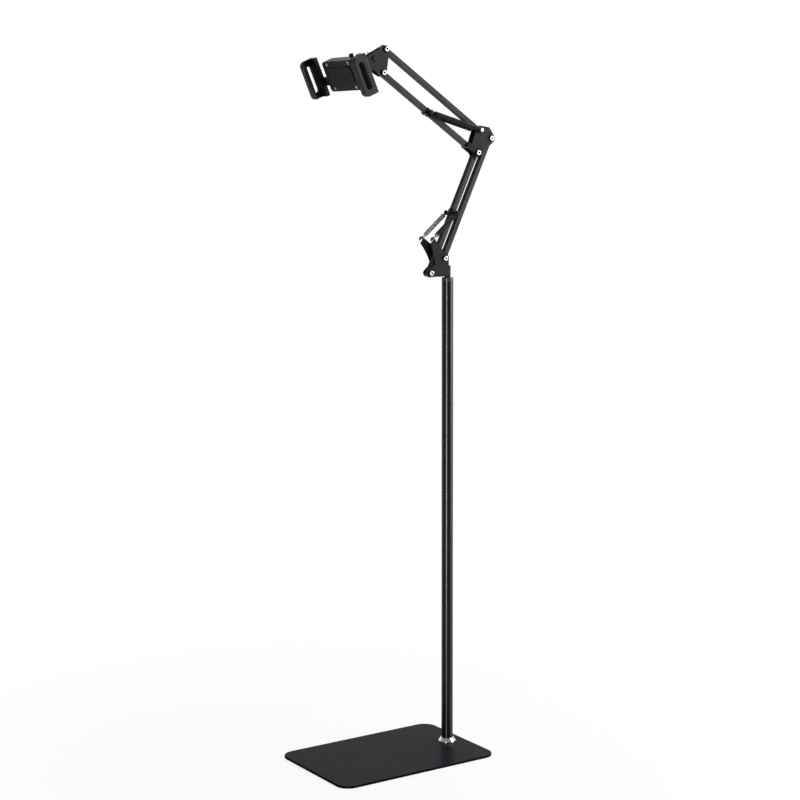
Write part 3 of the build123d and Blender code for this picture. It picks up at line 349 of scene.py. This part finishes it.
materials = {
    "base": enamel("base_enamel", shade=0.0090, roughness=0.32, specular=0.013, violet=0.35, **FINE_GRAIN),
    "bracket": enamel("bracket_enamel", shade=0.019, roughness=0.40, specular=0.05, **SHEET_GRAIN),
    "plate": enamel("plate_enamel", shade=0.026, roughness=0.40, specular=0.05, **SHEET_GRAIN),
    "bar": enamel("bar_enamel", shade=0.046, roughness=0.36, specular=0.05, **BAR_GRAIN),
    "dark": enamel("dark_steel", shade=0.008, roughness=0.30, specular=0.10, **SMALL_PART_GRAIN),
    "pole": gloss_pole_material(),
    "chrome": polished("chrome_plate", shade=0.86, roughness=0.07),
    # painted shade blackens the screws' hex sockets
    "steel": polished("screw_steel", shade=0.50, roughness=0.30, brush_scale=FINE_MARKS, recess_shade=0.97),
    "bright_steel": polished("bright_steel", shade=0.85, roughness=0.40, brush_scale=FINE_MARKS),
    "inner_steel": polished("inner_steel", shade=0.55, roughness=0.35, brush=ALONG_TUBE, brush_scale=400.0),
    "spring": polished("spring_wire", shade=0.035, roughness=0.42, brush_scale=WIRE_MARKS),
    # a lighter copy of the spring wire: painted light for the far lower spring, which shows lit
    "painted_lit_spring": polished("spring_wire_painted_lit", shade=0.36, roughness=0.50, brush_scale=WIRE_MARKS),
    "plastic": moulded("black_plastic", shade=0.010, roughness=0.38, specular=0.07),
    # the jaws' wide, strong painted shade darkens the inside of their windows
    "jaw": moulded("jaw_plastic", shade=0.038, roughness=0.42, specular=0.07,
                   painted_shade_reach=28.0 * MM, closed=0.75, opened=0.97),
    "cap": moulded("cap_plastic", shade=0.034, roughness=0.28, specular=0.4),
    "grip": rubber("grip_rubber", shade=0.018, specular=0.25),
    # black rubber made darker still as painted shade inside the jaw windows
    "liner": rubber("liner_rubber_painted_shade", shade=0.0035, specular=0.06),
    "mat": rubber("floor_rubber", shade=0.012, specular=0.25),
}

NODE_MATERIALS = {
    "base": ["base_plate"],
    "mat": ["base_mat"],
    "pole": ["pole_lower_tube", "pole_middle_tube", "pole_upper_tube"],
    "cap": ["pole_cap", "lower_rear_bar_plugs", "lower_front_bar_plug", "upper_top_bar_plugs",
            "upper_bottom_bar_plug"],
    "chrome": ["base_collar", "wing_nut"],
    "bright_steel": ["elbow_spring_post"],
    "bracket": ["base_bracket"],
    "plate": ["elbow_plate_near", "elbow_plate_far", "head_plate_near", "head_plate_far", "tilt_bolt"],
    "bar": ["lower_rear_bar", "lower_front_bar", "upper_top_bar", "upper_bottom_bar"],
    "dark": ["base_screw", "bracket_washers", "elbow_washers", "head_washers", "swivel_pin",
             "lower_spring_post", "upper_spring_post", "lower_spring_band", "upper_spring_band"],
    "steel": ["bracket_screws", "elbow_screws", "head_screws", "bracket_nuts", "elbow_nuts",
              "head_nuts", "cover_screws"],
    "inner_steel": ["pole_joiners", "pole_insert", "swivel_stud"],
    "spring": ["lower_springs", "upper_springs", "lower_spring_bar_eyes", "upper_spring_elbow_eyes",
               "upper_spring_bar_eyes"],
    # the lower hook eyes take the lighter copy of the wire, as painted light
    "painted_lit_spring": ["lower_spring_hook_eyes"],
    "plastic": ["holder_neck", "holder_case", "holder_cover", "lock_knob", "lower_front_bar_tongue",
                "upper_bottom_bar_fork"],
    "jaw": ["near_jaw", "far_jaw"],
    "grip": ["swivel_washer", "holder_pad"],
    "liner": ["near_jaw_liner", "far_jaw_liner"],
}


def paint_cad_nodes():
    for key, names in NODE_MATERIALS.items():
        for name in names:
            slots = nodes[name].material_slots
            if not slots:
                nodes[name].data.materials.append(materials[key])
            for slot in slots:
                slot.material = materials[key]


# Springs: close coils that stretch between the two eyes.
# Start and end are the eyes' centres as (x, z); side is their distance from the middle plane.
COIL_WIRE = 1.4 * MM
COIL_OUTSIDE = 8.6 * MM
COIL_INSET = 8.5 * MM
COIL_END_GAP = 0.9 * MM
WIRE_SIDES = 8
TURN_STEPS = 22
SPRINGS = {
    "lower": {
        "turns": 32,
        "start": (92.57 * MM, 972.95 * MM),
        "end": (145.22 * MM, 1017.39 * MM),
        "side": 18.015 * MM,
        # the far lower coil takes the lighter copy of the wire as painted light
        "finish": {"near": "spring", "far": "painted_lit_spring"},
    },
    "upper": {
        "turns": 62,
        "start": (203.87 * MM, 1169.99 * MM),
        "end": (91.54 * MM, 1201.16 * MM),
        "side": 12.6 * MM,
        "finish": {"near": "spring", "far": "spring"},
    },
}


def circle_point(middle, first, second, radius, angle):
    return middle + first * (radius * math.cos(angle)) + second * (radius * math.sin(angle))


def sweep_tube(name, line, radius):
    # A closed tube of constant radius along a list of points.
    vertices = []
    faces = []
    normal = (line[1] - line[0]).orthogonal().normalized()
    for here, place in enumerate(line):
        before = line[max(here - 1, 0)]
        after = line[min(here + 1, len(line) - 1)]
        along = (after - before).normalized()
        normal = (normal - along * normal.dot(along)).normalized()
        across = along.cross(normal)
        for side in range(WIRE_SIDES):
            angle = 2 * math.pi * side / WIRE_SIDES
            vertices.append(circle_point(place, normal, across, radius, angle))
    last_ring = (len(line) - 1) * WIRE_SIDES
    for ring in range(0, last_ring, WIRE_SIDES):
        for side in range(WIRE_SIDES):
            following = (side + 1) % WIRE_SIDES
            faces.append((
                ring + side,
                ring + following,
                ring + WIRE_SIDES + following,
                ring + WIRE_SIDES + side,
            ))
    faces.append(tuple(reversed(range(WIRE_SIDES))))
    faces.append(tuple(range(last_ring, last_ring + WIRE_SIDES)))
    mesh = bpy.data.meshes.new(name)
    mesh.from_pydata(vertices, [], faces)
    mesh.shade_smooth()
    made = bpy.data.objects.new(name, mesh)
    bpy.context.scene.collection.objects.link(made)
    return made


def make_coil(name, start, end, turns):
    axis = (end - start).normalized()
    first = start + axis * COIL_END_GAP
    rise = (end - start).length - 2 * COIL_END_GAP
    radius = (COIL_OUTSIDE - COIL_WIRE) / 2
    out = Vector((0, 1, 0))
    over = axis.cross(out)
    steps = turns * TURN_STEPS
    line = []
    for step in range(steps + 1):
        angle = 2 * math.pi * step / TURN_STEPS
        line.append(circle_point(first + axis * (rise * step / steps), out, over, radius, angle))
    return sweep_tube(name, line, COIL_WIRE / 2)


def make_springs():
    for name, facts in SPRINGS.items():
        for place, sign in (("near", -1), ("far", 1)):
            side = sign * facts["side"]
            start_x, start_z = facts["start"]
            end_x, end_z = facts["end"]
            start = Vector((start_x, side, start_z))
            end = Vector((end_x, side, end_z))
            axis = (end - start).normalized()
            first = start + axis * COIL_INSET
            last = end - axis * COIL_INSET
            coil = make_coil(f"{name}_{place}_coil", first, last, facts["turns"])
            coil.data.materials.append(materials[facts["finish"][place]])
            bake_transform(coil)
            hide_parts(f"{name}_springs")


# Stage: pale floor and white surroundings
AMBIENT_LEVEL = 0.15
ROOM_LEVEL = 0.25
ROOM_START = -0.1
ROOM_END = 0.8
FLOOR_SIZE = 40.0
FLOOR_COLOUR = (0.82, 0.82, 0.82, 1.0)
FLOOR_ROUGHNESS = 0.9
FLOOR_CLEAR_RADIUS = 0.35
FLOOR_WHITE_RADIUS = 1.0
FLOOR_CLEAR_SHARE = 0.84


def highest(tree, first, second):
    node = add_node(tree, "ShaderNodeMath", operation="MAXIMUM")
    tree.links.new(first, node.inputs[0])
    tree.links.new(second, node.inputs[1])
    return node.outputs[0]


def seen_directly(tree):
    # 1 for camera, glossy and transmission rays.
    path = add_node(tree, "ShaderNodeLightPath").outputs
    shown = highest(tree, path["Is Camera Ray"], path["Is Glossy Ray"])
    return highest(tree, shown, path["Is Transmission Ray"])


def backdrop_strength(tree, place):
    # White all round for the camera; reflections see white behind the object and a dimmer room before it.
    along = add_node(tree, "ShaderNodeVectorMath", operation="DOT_PRODUCT")
    along.inputs[1].default_value = camera_axes()[2]
    tree.links.new(place, along.inputs[0])
    reflected = ramp(tree, along.outputs["Value"], low=ROOM_LEVEL, start=ROOM_START, end=ROOM_END)
    path = add_node(tree, "ShaderNodeLightPath").outputs
    return highest(tree, path["Is Camera Ray"], reflected)


def make_world():
    world = bpy.data.worlds.new("studio")
    world.use_nodes = True
    tree = world.node_tree
    tree.nodes.clear()
    shown = add_node(tree, "ShaderNodeBackground")
    shown.inputs["Color"].default_value = WHITE
    direction = add_node(tree, "ShaderNodeTexCoord").outputs["Generated"]
    tree.links.new(backdrop_strength(tree, direction), shown.inputs["Strength"])
    ambient = add_node(tree, "ShaderNodeBackground")
    ambient.inputs["Color"].default_value = WHITE
    ambient.inputs["Strength"].default_value = AMBIENT_LEVEL
    mix = add_node(tree, "ShaderNodeMixShader")
    output = add_node(tree, "ShaderNodeOutputWorld")
    tree.links.new(seen_directly(tree), mix.inputs["Fac"])
    tree.links.new(ambient.outputs[0], mix.inputs[1])
    tree.links.new(shown.outputs[0], mix.inputs[2])
    tree.links.new(mix.outputs[0], output.inputs["Surface"])
    bpy.context.scene.world = world


def floor_material():
    # Pale ground that keeps the object's shadow near it and turns white further out.
    made, tree, shader = new_material("pale_floor")
    shader.inputs["Base Color"].default_value = FLOOR_COLOUR
    shader.inputs["Roughness"].default_value = FLOOR_ROUGHNESS
    glow = add_node(tree, "ShaderNodeEmission")
    glow.inputs["Color"].default_value = WHITE
    place = add_node(tree, "ShaderNodeNewGeometry").outputs["Position"]
    tree.links.new(backdrop_strength(tree, place), glow.inputs["Strength"])
    distance = add_node(tree, "ShaderNodeVectorMath", operation="LENGTH")
    tree.links.new(place, distance.inputs[0])
    share = ramp(tree, distance.outputs["Value"], low=FLOOR_CLEAR_SHARE,
                 start=FLOOR_CLEAR_RADIUS, end=FLOOR_WHITE_RADIUS)
    shown = add_node(tree, "ShaderNodeMath", operation="MULTIPLY")
    tree.links.new(share, shown.inputs[0])
    tree.links.new(seen_directly(tree), shown.inputs[1])
    mix = add_node(tree, "ShaderNodeMixShader")
    tree.links.new(shown.outputs[0], mix.inputs["Fac"])
    tree.links.new(shader.outputs[0], mix.inputs[1])
    tree.links.new(glow.outputs[0], mix.inputs[2])
    tree.links.new(mix.outputs[0], tree.nodes["Material Output"].inputs["Surface"])
    return made


def make_floor():
    bpy.ops.mesh.primitive_plane_add(size=FLOOR_SIZE, location=(0, 0, cad_low.z))
    floor = bpy.context.object
    floor.name = "floor"
    floor.data.materials.append(floor_material())


# Lights: two large soft ones, and a strip before the pole that shows in reflections only
OBJECT_MIDDLE = (0.1, 0.0, 0.7)
POLE_MIDDLE = (0.136, 0.0, 0.46)
AREA_LIGHTS = {
    "key_softbox": {
        "place": (2.9, -2.1, 1.7),
        "target": OBJECT_MIDDLE,
        "size": (2.2, 2.4),
        "power": 150.0,
        "reflection_only": False,
    },
    "strip_reflector": {
        "place": (-0.68, -0.66, 0.46),
        "target": POLE_MIDDLE,
        "size": (0.34, 0.9),
        "power": 11.0,
        "reflection_only": True,
    },
    "top_softbox": {
        "place": (1.5, 0.8, 3.1),
        "target": OBJECT_MIDDLE,
        "size": (2.4, 2.4),
        "power": 78.0,
        "reflection_only": False,
    },
}


def make_area_light(name, facts):
    data = bpy.data.lights.new(name, "AREA")
    data.shape = "RECTANGLE"
    data.size, data.size_y = facts["size"]
    data.energy = facts["power"]
    light = bpy.data.objects.new(name, data)
    place = Vector(facts["place"])
    forward = (Vector(facts["target"]) - place).normalized()
    right = forward.cross(Vector((0, 0, 1))).normalized()
    light.matrix_world = look_matrix(place, right, right.cross(forward), forward)
    light.visible_camera = False
    light.visible_diffuse = not facts["reflection_only"]
    bpy.context.scene.collection.objects.link(light)


make_camera()
make_world()
make_floor()
for light_name, light_facts in AREA_LIGHTS.items():
    make_area_light(light_name, light_facts)
paint_cad_nodes()
make_springs()

bpy.context.scene.view_settings.view_transform = "Standard"
